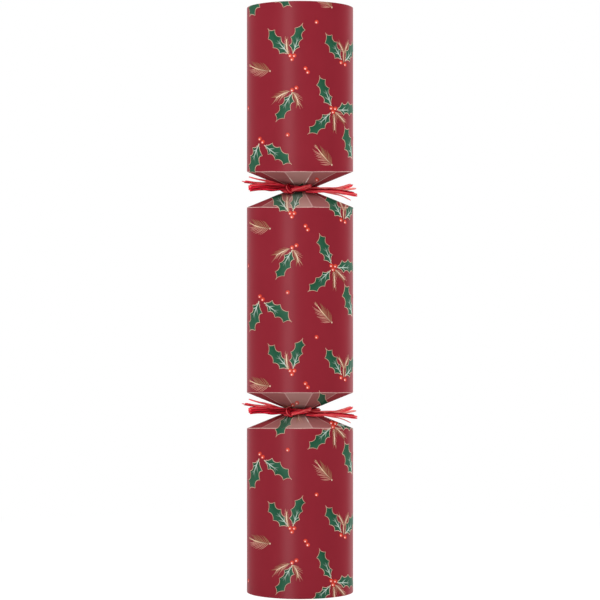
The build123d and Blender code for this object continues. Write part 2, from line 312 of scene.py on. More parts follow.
def seamFlap(section):  # inner layer of the glued seam
    low, high = drawnIn(section, halfNeck + fold["flapClear"], 0)
    width = fold["seamOverlap"] + fold["seamRamp"]
    reach = tubeRadius - fold["board"] - hair
    bpy.ops.mesh.primitive_grid_add(x_subdivisions=28, y_subdivisions=1, size=1)
    piece = bpy.context.object
    for vertex in piece.data.vertices:
        past = vertex.co.x * width + fold["seamRamp"] / 2 - fold["seamOverlap"] / 2
        angle = seamAngle + past / tubeRadius
        vertex.co = (reach * math.cos(angle), reach * math.sin(angle), low if vertex.co.y < 0 else high)
    applied(piece, "SOLIDIFY", thickness=fold["board"] - 2 * hair, offset=-1)
    return piece


def foldedCard(name, section, materials):
    bpy.ops.object.select_all(action="DESELECT")
    bpy.ops.mesh.primitive_cylinder_add(
        vertices=fold["columns"], radius=tubeRadius, depth=section["high"] - section["low"],
        end_fill_type="NOTHING", location=(0, 0, (section["low"] + section["high"]) / 2))
    card = bpy.context.object
    bpy.ops.object.transform_apply(location=True)
    waists = [waistAt(section, end) for end in section["chokes"]]
    cuts = [flatCut((0, 0, base + sign * row), (0, 0, 1)) for row in chokeRows for sign, base in waists]
    edited(card, *cuts)
    paintedFoldHighlights, paintedSheenShare, folded = [], [], set()
    columnStep = 2 * math.pi / fold["columns"]
    for vertex in card.data.vertices:
        angle = math.atan2(vertex.co.y, vertex.co.x)
        sign, waist = nearestWaist(section, vertex.co.z)
        height = sign * (vertex.co.z - waist)
        past = (angle - seamAngle + math.pi) % (2 * math.pi) - math.pi
        if -columnStep / 2 <= past < columnStep / 2:  # last column before the glued edge
            angle = seamAngle - hair / tubeRadius
        elif columnStep / 2 <= past < 1.5 * columnStep:
            angle = seamAngle + hair / tubeRadius
        reach, paintedFoldHighlight, facet = boardReach(angle, height)
        reach -= seamDrop(angle, height)
        paintedFoldHighlights.append(paintedFoldHighlight)
        # painted sheen share of each facet point, 0 on the tube
        paintedSheenShare.append(paintedFacetSheen(angle) if facet else 0.0)
        if height < halfNeck + hair:
            folded.add(vertex.index)
        vertex.co.x, vertex.co.y = reach * math.cos(angle), reach * math.sin(angle)
        vertex.co.z += sign * foldLean(section, vertex.co.y, height)
    pointValues(card, "paintedFoldHighlight", paintedFoldHighlights)
    pointValues(card, "paintedSheenShare", paintedSheenShare)
    for material in materials:
        card.data.materials.append(material)
    for face in card.data.polygons:
        face.material_index = 0 if folded.issuperset(face.vertices) else 1
    applied(card, "SOLIDIFY", thickness=fold["board"], offset=-1, material_offset=2, material_offset_rim=4)
    inner = [seamFlap(section)]
    inner += [pleat(section, end, index) for end in section["chokes"] for index in range(fold["facets"])]
    inside = joined(inner, name + "Inside")
    inside.data.materials.append(materials[2])
    card = joined([card, inside], name)
    for vertex in card.data.vertices:
        vertex.co.z = min(topRim, max(0.0, vertex.co.z))
    only(card)
    bpy.ops.object.shade_smooth_by_angle(angle=fold["smooth"])
    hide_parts(section["node"])
    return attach(card, section["body"])


# printed board under a satin laminate: soft gloss and faint fibre in the surface;
# the pressed facets are dull and painted pale with a painted sheen, palest at front and back; ridges and
# folds carry a painted highlight
boardInk = {
    "ground": "#8e2834",
    "deep": "#87232f",
    # painted highlight colour on ridges and folds, then the painted sheen colour of the facets
    "paintedHighlight": "#d9b4ae",
    "paintedSheenColour": "#b8948c",
    "roughness": 0.32,
    "gloss": 0.03,
    "mottleMm": 18,
    "flakeMm": 0.7,
    "fibreMm": 1.2,
}
rawBoard = {
    "back": {"colours": ("#cfc6b8", "#e9e3d8"), "grainMm": (1.5, 1.5, 1.5), "detail": 6.0,
             "raggedness": 0.7, "contrast": (0.0, 1.0), "roughness": 0.85, "bump": 0.15, "relief": 0.1},
    "edge": {"colours": ("#a8746f", "#cdb3ab"), "grainMm": (0.4, 0.4, 0.4),
             "raggedness": 0.5, "contrast": (0.0, 1.0), "roughness": 0.9, "bump": 0},
}


def laminatedPrint(name, gloss):
    material, tree = newMaterial(name)
    place = addNode(tree, "ShaderNodeTexCoord")
    mottle = addNode(tree, "ShaderNodeTexNoise", {
        "Vector": place.outputs["Object"], "Scale": 1 / (boardInk["mottleMm"] * mm),
        "Detail": 3.0, "Roughness": 0.55})
    ground = addNode(tree, "ShaderNodeMix", {
        0: mottle, 6: linear(boardInk["deep"]), 7: linear(boardInk["ground"])}, data_type="RGBA")
    flake = addNode(tree, "ShaderNodeTexNoise", {
        "Vector": place.outputs["Object"], "Scale": 1 / (boardInk["flakeMm"] * mm),
        "Detail": 4.0, "Roughness": 0.7})
    # painted sheen: facets are mixed towards a pale grey-pink, most at front and back, mottled
    paintedSheenShare = addNode(tree, "ShaderNodeAttribute", attribute_name="paintedSheenShare")
    paintedSheenMottle = addNode(tree, "ShaderNodeMath", {0: mottle, 1: 0.3, 2: 0.6}, operation="MULTIPLY_ADD")
    pale = addNode(tree, "ShaderNodeMath", {0: paintedSheenShare.outputs["Fac"], 1: paintedSheenMottle}, operation="MULTIPLY")
    paintedSheenColour = addNode(tree, "ShaderNodeMix", {
        0: pale, 6: ground, 7: linear(boardInk["paintedSheenColour"])}, data_type="RGBA")
    # painted highlight along ridges and folds, broken up by fine noise
    paintedFoldHighlight = addNode(tree, "ShaderNodeAttribute", attribute_name="paintedFoldHighlight")
    paintedHighlightFlecks = addNode(tree, "ShaderNodeMath", {0: paintedFoldHighlight.outputs["Fac"], 1: flake}, operation="MULTIPLY")
    share = addNode(tree, "ShaderNodeMapRange", {0: paintedHighlightFlecks, 1: 0.1, 2: 0.45, 3: 0.0, 4: 0.9})
    colour = addNode(tree, "ShaderNodeMix", {
        0: share, 6: paintedSheenColour, 7: linear(boardInk["paintedHighlight"])}, data_type="RGBA")
    fibre = addNode(tree, "ShaderNodeTexNoise", {
        "Vector": place.outputs["Object"], "Scale": 1 / (boardInk["fibreMm"] * mm), "Detail": 3.0})
    bump = addNode(tree, "ShaderNodeBump", {"Height": fibre, "Strength": 0.05, "Distance": 0.1 * mm})
    return finished(material, addNode(tree, "ShaderNodeBsdfPrincipled", {
        "Base Color": colour, "Roughness": boardInk["roughness"], "IOR": 1.5,
        "Specular IOR Level": gloss, "Normal": bump}))


pressedFront = laminatedPrint("pressedLaminatedPrint", 0.0)
satinFront = laminatedPrint("satinLaminatedPrint", boardInk["gloss"])
boardBack = grained("uncoatedBoardBack", rawBoard["back"])  # white-lined board: matt, flecked with grey fibre
boardEdge = grained("dieCutBoardEdge", rawBoard["edge"])  # grey core, reddened by the ink at its lip
# facets and tube, then the backs and the edges of both
cardMaterials = (pressedFront, satinFront) + (boardBack,) * 2 + (boardEdge,) * 2
cards = {name: foldedCard(name + "Card", section, cardMaterials) for name, section in sections.items()}
print("cards folded:", [len(card.data.polygons) for card in cards.values()])

# the printed holly: one repeat is drawn flat, copied up and round, cut to the board and folded with it
holly = {
    "spines": ((0.075, 0.048), (0.23, 0.172), (0.50, 0.192), (0.79, 0.165)),  # along and across a leaf
    "tip": 0.004,
    "valley": 0.62,  # how deep the edge dips between spines
    "tipValley": 0.45,
    "hook": 0.01,
    "skew": 0.12,  # spines lie further back on one side of a leaf
    "arc": 0.16,
    "stalk": 0.012,
    "stalkSwell": 1.3,
    "outline": 0.0125,
    "needle": ((0.0, 0.04), (0.35, 0.06), (0.7, 0.05)),  # along a needle, and half its width there
    "stem": 0.004,
    "berry": 1.1,  # mm
    "dot": 0.45,  # mm, at the foot of a fir twig
    "leafStart": 2.0,  # mm from the middle of a sprig
    "leafTrim": 1.0,
    "broadest": 1.35,  # berries are drawn broader towards the sides
    "fork": {"share": 0.84, "lean": 16, "step": 7, "length": 2.6},  # short needles at the tip of a twig
    "period": 80.3 * mm,
    "sideStretch": 0.027,  # the repeat is longer at the sides than in front
    "lift": 0.03 * mm,
    "ink": 0.02 * mm,
    "gloss": 0.015,
    "layer": 0.012 * mm,  # between what is printed first and what lies over it
    "strips": 58,
    "spareStrips": 6,
    "waistGap": 0.8 * mm,
    "rimGap": 0.05 * mm,
    "spare": 4 * mm,  # kept beyond a section until its print is unfolded
    "foldRows": (0.08, 0.16, 0.24, 0.32, 0.4),  # mm past a fold's corners, where its arch runs
}
layers = {"leaf": 0, "needle": 1, "stem": 2, "berry": 3}
# places in mm, across from the front and up from the foot; leaves as degrees, length and how wide
# against the drawing; tufts as degrees, length, the degrees they turn through and how long their needles are
threeBerries = ((-0.8, 1.0), (1.3, 0.9), (0.1, -0.9))
sprigs = (
    {"at": (-4.2, 276.2), "leaves": ((131, 19.5, 1.0), (72, 17.5, 1.0)), "berries": threeBerries,
     "stalk": (-1.1, 0.6), "tufts": ((118, 9.0, -36, 0.6),)},
    {"at": (25.7, 274.6), "leaves": ((130, 18.0, 1.15), (34, 20.0, 1.2)),
     "berries": ((-1.3, 0.1), (1.3, -0.6)), "stalk": (0.3, 0.0), "tufts": ((86, 6.0, 8, 0.6),)},
    {"at": (26.4, 279.0), "stalk": (0, 0), "tufts": ((116, 7.0, 20, 0.75), (66, 8.0, -20, 0.75))},
    {"at": (-2.9, 260.1), "leaves": ((239, 18.4, 1.0),), "berries": ((-1.1, -0.5), (1.1, 0.6)),
     "stalk": (-1.7, -0.9), "tufts": ((198, 8.8, 10, 1.0), (322, 8.4, -50, 0.85))},
    {"at": (18.1, 249.8), "leaves": ((115, 18.2, 1.05), (4, 24.0, 0.85), (222, 18.2, 1.0)),
     "berries": threeBerries, "stalk": (0.3, -0.3), "tufts": ((280, 9.8, -12, 0.6), (332, 10.0, -8, 0.75))},
    {"at": (38.5, 224.2), "leaves": ((123, 20.5, 1.45),)},
    {"at": (-22.8, 234.6), "leaves": ((236, 19.5, 1.6),), "berries": ((-0.3, 0.8), (1.3, -0.9))},
    {"at": (-21.8, 233.0), "leaves": ((327, 20.0, 1.0),)},
)
looseBerries = ((2.8, 270.6), (4.0, 268.7), (8.6, 294.4), (-6.3, 236.8), (-35.8, 252.2), (41.0, 236.8))
# place, degrees, length, the degrees they turn through and how much wider they are drawn
firTwigs = ((-16.2, 269.7, 170, 13.6, -22, 1.4), (17.4, 221.7, 144, 13.6, -20, 1.0))
sprays = {
    "tuft": {"needles": 16, "start": 0.12, "end": 0.98, "lean": 44, "fall": 0.4, "reach": 0.54, "belly": 0.1,
             "width": 2.1, "bow": 0.25, "core": 0.02, "chance": 0.22, "fork": 0},
    "fir": {"needles": 18, "start": 0.02, "end": 0.58, "lean": 64, "fall": 0.9, "reach": 0.41, "belly": 0.2,
            "width": 2.4, "bow": 0.5, "core": 0.011, "chance": 0.07, "fork": 4},
}


def printedInk(name, gloss, drawn, *tones):  # under the board's laminate, and painted paler on a facet by the facet's painted sheen
    material, tree = newMaterial(name)
    place = addNode(tree, "ShaderNodeUVMap", uv_map="drawing")
    paintedSheenShare = addNode(tree, "ShaderNodeAttribute", attribute_name="paintedSheenShare")
    # print on a facet is painted paler with the facet's painted sheen
    share = addNode(tree, "ShaderNodeMapRange", {0: paintedSheenShare.outputs["Fac"], 1: 0.3, 2: 1.0, 3: 0.0, 4: 0.13})
    pale = addNode(tree, "ShaderNodeMix", {
        0: share, 6: drawn(tree, place, *tones), 7: linear("#d2ccc6")}, data_type="RGBA")
    return finished(material, addNode(tree, "ShaderNodeBsdfPrincipled", {
        "Base Color": pale, "Roughness": boardInk["roughness"], "IOR": 1.5, "Specular IOR Level": gloss}))


def leafColour(tree, place):  # printed holly leaf: flat bottle green, pale feathered veins near the stalk
    split = addNode(tree, "ShaderNodeSeparateXYZ", {"Vector": place})
    along, side = split.outputs["X"], split.outputs["Y"]
    shade = addNode(tree, "ShaderNodeMapRange", {0: side, 1: -0.16, 2: 0.16, 3: 0.0, 4: 1.0})
    green = addNode(tree, "ShaderNodeMix", {
        0: shade, 6: linear("#1e4c35"), 7: linear("#2f5e47")}, data_type="RGBA")
    across = addNode(tree, "ShaderNodeMath", {0: side}, operation="ABSOLUTE")
    slant = addNode(tree, "ShaderNodeMath", {0: across, 1: -1.5, 2: along}, operation="MULTIPLY_ADD")
    rows = addNode(tree, "ShaderNodeMath", {0: slant, 1: 0.1}, operation="PINGPONG")
    vein = addNode(tree, "ShaderNodeMapRange", {0: rows, 1: 0.005, 2: 0.02, 3: 1.0, 4: 0.0})
    rib = addNode(tree, "ShaderNodeMapRange", {0: across, 1: 0.006, 2: 0.016, 3: 1.0, 4: 0.0})
    lines = addNode(tree, "ShaderNodeMath", {0: vein, 1: rib}, operation="MAXIMUM")
    nearStalk = addNode(tree, "ShaderNodeMapRange", {0: along, 1: 0.3, 2: 0.55, 3: 0.8, 4: 0.0})
    nearRib = addNode(tree, "ShaderNodeMapRange", {0: across, 1: 0.05, 2: 0.11, 3: 1.0, 4: 0.0})
    mask = addNode(tree, "ShaderNodeMath", {0: nearStalk, 1: nearRib}, operation="MULTIPLY")
    share = addNode(tree, "ShaderNodeMath", {0: lines, 1: mask}, operation="MULTIPLY")
    return addNode(tree, "ShaderNodeMix", {0: share, 6: green, 7: linear("#d6e8dc")}, data_type="RGBA")


def goldColour(tree, place, base, tip):  # bronze-gold ink: warm strokes that change tone from base to tip
    split = addNode(tree, "ShaderNodeSeparateXYZ", {"Vector": place})
    fade = addNode(tree, "ShaderNodeMapRange", {0: split.outputs["X"], 1: 0.0, 2: 0.55, 3: 0.0, 4: 1.0})
    return addNode(tree, "ShaderNodeMix", {0: fade, 6: linear(base), 7: linear(tip)}, data_type="RGBA")


def berryColour(tree, place):  # printed berry: orange-red with a white spot of light and a darker rim
    spot = addNode(tree, "ShaderNodeVectorMath", {0: place, 1: (-0.2, -0.25, 0)}, operation="DISTANCE")
    rim = addNode(tree, "ShaderNodeVectorMath", {0: place}, operation="LENGTH")
    edge = addNode(tree, "ShaderNodeMapRange", {0: rim, 1: 0.45, 2: 1.0, 3: 0.0, 4: 1.0})
    body = addNode(tree, "ShaderNodeMix", {
        0: edge, 6: linear("#e24d3b"), 7: linear("#be342a")}, data_type="RGBA")
    light = addNode(tree, "ShaderNodeMapRange", {0: spot, 1: 0.15, 2: 0.42, 3: 1.0, 4: 0.0})
    return addNode(tree, "ShaderNodeMix", {0: light, 6: body, 7: linear("#fff0ec")}, data_type="RGBA")


goldTones = {  # from the base of a stroke to its tip; needles differ on the two sides of a stem
    "line": ("GoldLineInk", "#e6cdb6", "#d0ae96"),
    "tuftStem": ("PaleGoldStemInk", "#a87a5c", "#f0dac0"),
    ("tuft", -1): ("PaleGoldInk", "#dcb690", "#9c6a50"),
    ("tuft", 1): ("RoseGoldInk", "#e2bf9c", "#b8806e"),
    "firStem": ("DullGoldStemInk", "#85614a", "#f0d8b6"),
    ("fir", -1): ("DullGoldInk", "#b08a64", "#986a50"),
    ("fir", 1): ("RoseBronzeInk", "#d2a888", "#d09484"),
}


def inkSet(finish, gloss):
    made = {"leaf": printedInk(finish + "HollyLeafInk", gloss, leafColour),
            "berry": printedInk(finish + "HollyBerryInk", gloss, berryColour)}
    for key, (name, base, tip) in goldTones.items():
        made[key] = printedInk(finish + name, gloss, goldColour, base, tip)
    return made


inks = inkSet("satin", holly["gloss"])
pressedInks = {inks[key].name: ink for key, ink in inkSet("pressed", 0.0).items()}  # the same on dull facets


def flatOutline(points, *materials):  # a flat face on these points
    bpy.ops.object.select_all(action="DESELECT")
    bpy.ops.mesh.primitive_circle_add(vertices=len(points), radius=1, fill_type="NGON")
    piece = bpy.context.object
    for vertex, place in zip(piece.data.vertices, points):
        vertex.co = (place[0], place[1], 0)
    piece.data.update()
    if piece.data.polygons[0].normal.z < 0:
        edited(piece, (bpy.ops.mesh.flip_normals, {}))
    for material in materials:
        piece.data.materials.append(material)
    return piece


def drawingMap(piece):  # the drawing's own coordinates, kept through copying and folding
    flatMap(piece, "drawing", [vertex.co.xy for vertex in piece.data.vertices])
    return piece


def leafSide(sign, shift):
    corners = [(along + shift * along * (1 - along), across) for along, across in holly["spines"]]
    corners.append((1.0, holly["tip"]))
    points = [(0.0, holly["stalk"]), (corners[0][0], holly["stalk"] * holly["stalkSwell"])]
    for (a, b), (c, d) in zip(corners, corners[1:]):
        valley = holly["tipValley"] if c == 1.0 else holly["valley"]
        mid = ((a + c) / 2 - holly["hook"], (b + d) / 2 * valley)
        control = (2 * mid[0] - (a + c) / 2, 2 * mid[1] - (b + d) / 2)
        for step in range(5):
            t = step / 5
            points.append(tuple((1 - t) ** 2 * p + 2 * t * (1 - t) * q + t * t * r
                                for p, q, r in zip((a, b), control, (c, d))))
    points.append(corners[-1])
    return [(x, sign * y) for x, y in points]


def drawLeaf():
    points = leafSide(1, -holly["skew"]) + leafSide(-1, holly["skew"])[::-1]
    arched = [(x, y + holly["arc"] * x * (1 - x)) for x, y in points]
    piece = flatOutline(arched, inks["leaf"], inks["line"])
    edited(piece, (bpy.ops.mesh.inset, {"thickness": holly["outline"], "use_even_offset": False}))
    for face in piece.data.polygons:  # what the inset leaves selected is inside the outline
        face.material_index = 0 if face.select else 1
    edited(piece, (bpy.ops.mesh.quads_convert_to_tris, {}))
    return drawingMap(piece)


def drawNeedle(material, bow):
    edge = [(x, bow * x * x + half) for x, half in holly["needle"]]
    other = [(x, bow * x * x - half) for x, half in reversed(holly["needle"])]
    return drawingMap(flatOutline(edge + [(1.0, bow)] + other, material))


def stemPoint(bend, share):  # place and heading along a stem one long that turns steadily
    turn = math.radians(bend)
    return math.sin(turn * share) / turn, (1 - math.cos(turn * share)) / turn, turn * share


def drawStem(material, bend, core):
    left, right = [], []
    for k in range(9):
        x, y, heading = stemPoint(bend, k / 8)
        half = holly["stem"] + core * math.sin(math.pi * (0.1 + 0.1 * k))
        left.append((x - half * math.sin(heading), y + half * math.cos(heading)))
        right.append((x + half * math.sin(heading), y - half * math.cos(heading)))
    return drawingMap(flatOutline(right + left[::-1], material))


def drawDisc(material):
    turns = [k * math.pi / 9 for k in range(18)]
    return drawingMap(flatOutline([(math.cos(turn), math.sin(turn)) for turn in turns], material))


def laid(pattern, u, v, degrees, length, width=None, layer=0):  # one flat copy, in mm and degrees
    copy = copied(pattern)
    copy.location = (u * mm, v * mm, layer * holly["layer"])
    copy.rotation_euler = (0, 0, math.radians(degrees))
    copy.scale = (length * mm, (width or length) * mm, 1)
    return copy


def laidSpray(kind, needles, u, v, degrees, length, bend, spread, chance):  # a curved stem with its needles
    style, fork = sprays[kind], holly["fork"]
    stem = drawStem(inks[kind + "Stem"], bend, style["core"])
    feathers = []  # place along the stem, side, lean, length and layer
    for k in range(style["needles"]):
        share = style["start"] + (style["end"] - style["start"]) * k / style["needles"]
        side = 1 if k % 2 else -1
        lean = side * style["lean"] * (1 - style["fall"] * share)
        lean *= 1 + chance.uniform(-1, 1) * style["chance"]
        swell = 1 + style["belly"] * (math.sin(math.pi * share) - 0.5)
        reach = style["reach"] * length * spread * swell * (1 + chance.uniform(-1, 0.5) * style["chance"])
        feathers.append((share, side, lean, reach, layers["needle"] + 0.5 * k / style["needles"]))
    for k in range(style["fork"]):
        side = 1 if k % 2 else -1
        lean = side * (fork["lean"] + fork["step"] * k)
        feathers.append((fork["share"], side, lean, fork["length"], layers["stem"]))
    pieces = []
    turn = math.radians(degrees)
    for share, side, lean, reach, layer in feathers:
        x, y, heading = stemPoint(bend, share)
        pieces.append(laid(needles[side], u + length * (x * math.cos(turn) - y * math.sin(turn)),
                           v + length * (x * math.sin(turn) + y * math.cos(turn)),
                           degrees + math.degrees(heading) + lean, reach, style["width"], layer))
    pieces.append(laid(stem, u, v, degrees, length, None, layers["stem"]))
    bpy.data.objects.remove(stem)
    return pieces


def widened(pieces, u, share):  # drawn wider across, for print that is seen aslant
    for piece in pieces:
        piece.data.transform(piece.matrix_basis)
        piece.matrix_basis = Matrix.Identity(4)
        for vertex in piece.data.vertices:
            vertex.co.x = u * mm + (vertex.co.x - u * mm) * share
    return pieces


def flatRepeat():
    chance = random.Random(7)
    leaf, berry, dot = drawLeaf(), drawDisc(inks["berry"]), drawDisc(inks["line"])
    needles = {kind: {side: drawNeedle(inks[kind, side], -side * style["bow"]) for side in (-1, 1)}
               for kind, style in sprays.items()}
    laidOut = []
    for sprig in sprigs:
        u, v = sprig["at"]
        for degrees, length, bend, spread in sprig.get("tufts", ()):
            laidOut += laidSpray("tuft", needles["tuft"], u + sprig["stalk"][0], v + sprig["stalk"][1],
                                 degrees, length, bend, spread, chance)
        for degrees, length, wide in sprig.get("leaves", ()):
            turn, shorter = math.radians(degrees), length - holly["leafTrim"]
            laidOut.append(laid(leaf, u + holly["leafStart"] * math.cos(turn),
                                v + holly["leafStart"] * math.sin(turn), degrees, shorter, shorter * wide,
                                layers["leaf"]))
        wide = 1 / max(1 / holly["broadest"], math.cos(u * mm / tubeRadius))
        for du, dv in sprig.get("berries", ()):
            laidOut.append(laid(berry, u + du * wide, v + dv, 0, holly["berry"] * wide, holly["berry"],
                                layers["berry"]))
    for u, v in looseBerries:
        laidOut.append(laid(berry, u, v, 0, holly["berry"], None, layers["berry"]))
    for u, v, degrees, length, bend, wide in firTwigs:
        twig = laidSpray("fir", needles["fir"], u, v, degrees, length, bend, 1.0, chance)
        laidOut += widened(twig, u, wide)
        laidOut.append(laid(dot, u, v, 0, holly["dot"], None, layers["berry"]))
    sheet = joined(laidOut, "flatRepeat")
    for pattern in (leaf, berry, dot, *needles["tuft"].values(), *needles["fir"].values()):
        bpy.data.objects.remove(pattern)
    reach = holly["strips"] // 2 + holly["spareStrips"]
    strips = [columnCut(k * girth / 2 / holly["strips"]) for k in range(-reach, reach + 1)]
    edited(sheet, (bpy.ops.mesh.quads_convert_to_tris, {}), *strips,
           columnCut(-girth / 4, low=True), columnCut(girth / 4, high=True))
    return sheet


def flatSheet(repeat):  # the whole cracker's print before folding, half a repeat lower at the back
    copies = []
    for row in range(-1, 5):
        for turn in (-1, 0, 1):
            copy = copied(repeat)
            copy.location = (turn * girth / 2, 0, 0)
            for vertex in copy.data.vertices:
                stretch = 1 + holly["sideStretch"] * (1 - math.cos(vertex.co.x / tubeRadius))
                vertex.co.y -= (row + 0.5 * abs(turn)) * holly["period"] * stretch
            copies.append(copy)
    return joined(copies, "flatSheet")


def facetPlace(index, across, height, lift):  # where print lies on a facet, out from the axis and sideways
    low, high = -facetHalf, facetHalf
    for step in range(16):
        off = (low + high) / 2
        if facetReach(off, height) * math.sin(index * facetStep + off) < across:
            low = off
        else:
            high = off
    reach = facetReach(off, height) + lift * math.sin(facetAngle)
    return reach * math.cos(index * facetStep + off), reach * math.sin(index * facetStep + off)


def trimmed(source, cuts):  # a copy of flat print, trimmed along straight lines
    copy = copied(source)
    edited(copy, *cuts)
    return copy


def unfolded(section, across, drawn):  # height on the flat board of print that shows at its drawn height
    angle = frontAngle + across / tubeRadius
    sign, waist = nearestWaist(section, drawn)
    height = sign * (drawn - waist)
    for step in range(6):
        reach = max(fold["waistRadius"], min(tubeRadius, facetReach(offFacet(angle), height)))
        away = holly["sideStretch"] * (1 - reach / tubeRadius) * abs(math.sin(angle)) * (drawn - topRim / 2)
        height = sign * (drawn + away - waist) - foldLean(section, reach * math.sin(angle), height)
    return waist + sign * height


def tubePrint(strip, section):
    cuts = []
    for end in section["chokes"]:
        sign, base = waistAt(section, end)
        cuts += [rowCut(base + sign * (halfNeck + row * mm)) for row in holly["foldRows"]]
        cuts.append(rowCut(base + sign * halfNeck, sign, low=True))
    piece = trimmed(strip, cuts)
    for vertex in piece.data.vertices:
        angle = frontAngle + vertex.co.x / tubeRadius
        sign, waist = nearestWaist(section, vertex.co.y)
        height = sign * (vertex.co.y - waist)
        reach = min(tubeRadius, facetReach(offFacet(angle), height)) + holly["lift"] + vertex.co.z
        y = reach * math.sin(angle)
        vertex.co = (reach * math.cos(angle), y, waist + sign * (height + foldLean(section, y, height)))
    return piece


def neckPrint(strip, section, end):  # print on the facets, at its drawn width from the front and the back
    sign, base = waistAt(section, end)
    rows = [rowCut(base + sign * row) for row in chokeRows if row < halfNeck]
    rows.append(rowCut(base + sign * halfNeck, sign, high=True))
    back, side = girth / 2, girth / 4
    pieces = []
    for middle, low, high in ((0, -side, side), (back, side, back), (-back, -back, -side)):
        half = trimmed(strip, rows + [columnCut(low, low=True), columnCut(high, high=True)])
        for index, ink in enumerate(half.data.materials):
            half.data.materials[index] = pressedInks[ink.name]
        for vertex in half.data.vertices:
            vertex.co.x = tubeRadius * math.sin((vertex.co.x - middle) / tubeRadius - fold["turn"])
        for index in range(-2, 3):
            pieces.append(facetPrint(half, section, end, index, frontFacet + middle / tubeRadius))
        bpy.data.objects.remove(half)
    return pieces


def facetPrint(half, section, end, index, angle):
    sign, base = waistAt(section, end)
    cuts = []  # it is trimmed at the ridges, then divided along the facet's straight lines
    for ray in (-4, 4, -3, -2, -1, 0, 1, 2, 3):
        lean = math.sin((index + ray / 8) * facetStep)
        side = -1 if ray < 0 else 1
        normal = (side * halfNeck, -side * sign * (tubeRadius - fold["waistRadius"]) * lean, 0)
        cuts.append(flatCut((fold["waistRadius"] * lean, base, 0), normal, high=abs(ray) == 4))
    piece = trimmed(half, cuts)
    for vertex in piece.data.vertices:
        height = sign * (vertex.co.y - base)
        lift = holly["lift"] + vertex.co.z
        out, side = facetPlace(index, vertex.co.x, height, lift)
        x = out * math.cos(angle) - side * math.sin(angle)
        y = out * math.sin(angle) + side * math.cos(angle)
        height += foldLean(section, y, height) - lift * math.cos(facetAngle)
        vertex.co = (x, y, base + sign * height)
    # painted sheen share of this facet
    pointValues(piece, "paintedSheenShare", [fold["tones"][abs(index)]] * len(piece.data.vertices))
    return piece


def foldedPrint(name, section, sheet):
    low, high = drawnIn(section, holly["waistGap"], holly["rimGap"])
    whole = trimmed(sheet, (rowCut(low - holly["spare"], low=True), rowCut(high + holly["spare"], high=True),
                            columnCut(-girth / 2, low=True), columnCut(girth / 2, high=True)))
    for vertex in whole.data.vertices:
        vertex.co.y = unfolded(section, vertex.co.x, vertex.co.y)
    strip = trimmed(whole, (rowCut(low, low=True), rowCut(high, high=True)))
    bpy.data.objects.remove(whole)
    pieces = [tubePrint(strip, section)]
    for end in section["chokes"]:
        pieces += neckPrint(strip, section, end)
    bpy.data.objects.remove(strip)
    printed = joined(pieces, name)
    edited(printed, (bpy.ops.mesh.dissolve_degenerate, {"threshold": speck}))
    applied(printed, "SOLIDIFY", thickness=holly["ink"], offset=1)
    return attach(printed, section["body"])


repeat = flatRepeat()
sheet = flatSheet(repeat)
prints = {name: foldedPrint(name + "Print", section, sheet) for name, section in sections.items()}
bpy.data.objects.remove(repeat)
bpy.data.objects.remove(sheet)
print("holly printed:", [len(piece.data.polygons) for piece in prints.values()])

# raffia tie: loosely twisted bundles of dyed strips wound round the neck, knotted in front, ends left to fray
raffia = {
    "thickness": 0.15 * mm,
    "rows": 4,
    "step": 0.5 * mm,
    # shades along the dye, first its two ends; the darkest end also serves the painted shade at strip edges
    "dyesAndPaintedShade": ((0.26, "#5a0009"), (0.8, "#f89a90"), (0.36, "#a8081d"), (0.48, "#e61f3a"), (0.62, "#f4585f")),
    "paintedEdgeShade": 0.32,  # painted shade: strips are darker along their edges, in the grooves between them
    "tipPale": 0.25,  # and paler towards a frayed tip
    "toneChance": 0.34,
    "widthChance": (0.75, 1.15),
    "hub": 6.0 * mm,  # strips face away from a line this far behind the axis
    "deep": 0.35,  # every third strip keeps this near the middle of its bundle
    "flatness": 0.5,  # of a bundle, front to back
    "stray": 0.12 * mm,  # strips wander by this
    "strayWave": 2.6 * mm,
    "lean": 50,  # most degrees that a strip lies over
    "roll": 60,  # and turns through along its length
    "sway": 22,  # and sways to and fro
    "swayWave": (3.5, 6),  # mm
    "curl": (0.25, 0.6),  # across, against its width
    "ripple": 0.1,
    "rippleSlant": 9,
    "rippleWave": 1.7 * mm,
    "uneven": 0.15,  # of its width
    "unevenWave": 2.3 * mm,
    "taper": 4.0 * mm,
    "smooth": math.radians(50),
    "turns": ((8.6, 0.4, 100), (9.6, -0.5, 20), (10.5, 0.3, -70)),  # reach, height and start of each turn
    "sweep": 375,  # degrees
    "turnGrowth": 0.18,  # mm
    "turnWave": 0.1,  # mm
    "turnStyle": {"blunt": 1, "strips": 3, "width": 1.0, "twist": 9.0, "ends": (1.0, 1.0), "tone": 0.42,
                  "spread": (0.5, 0.6, 0.5)},
}
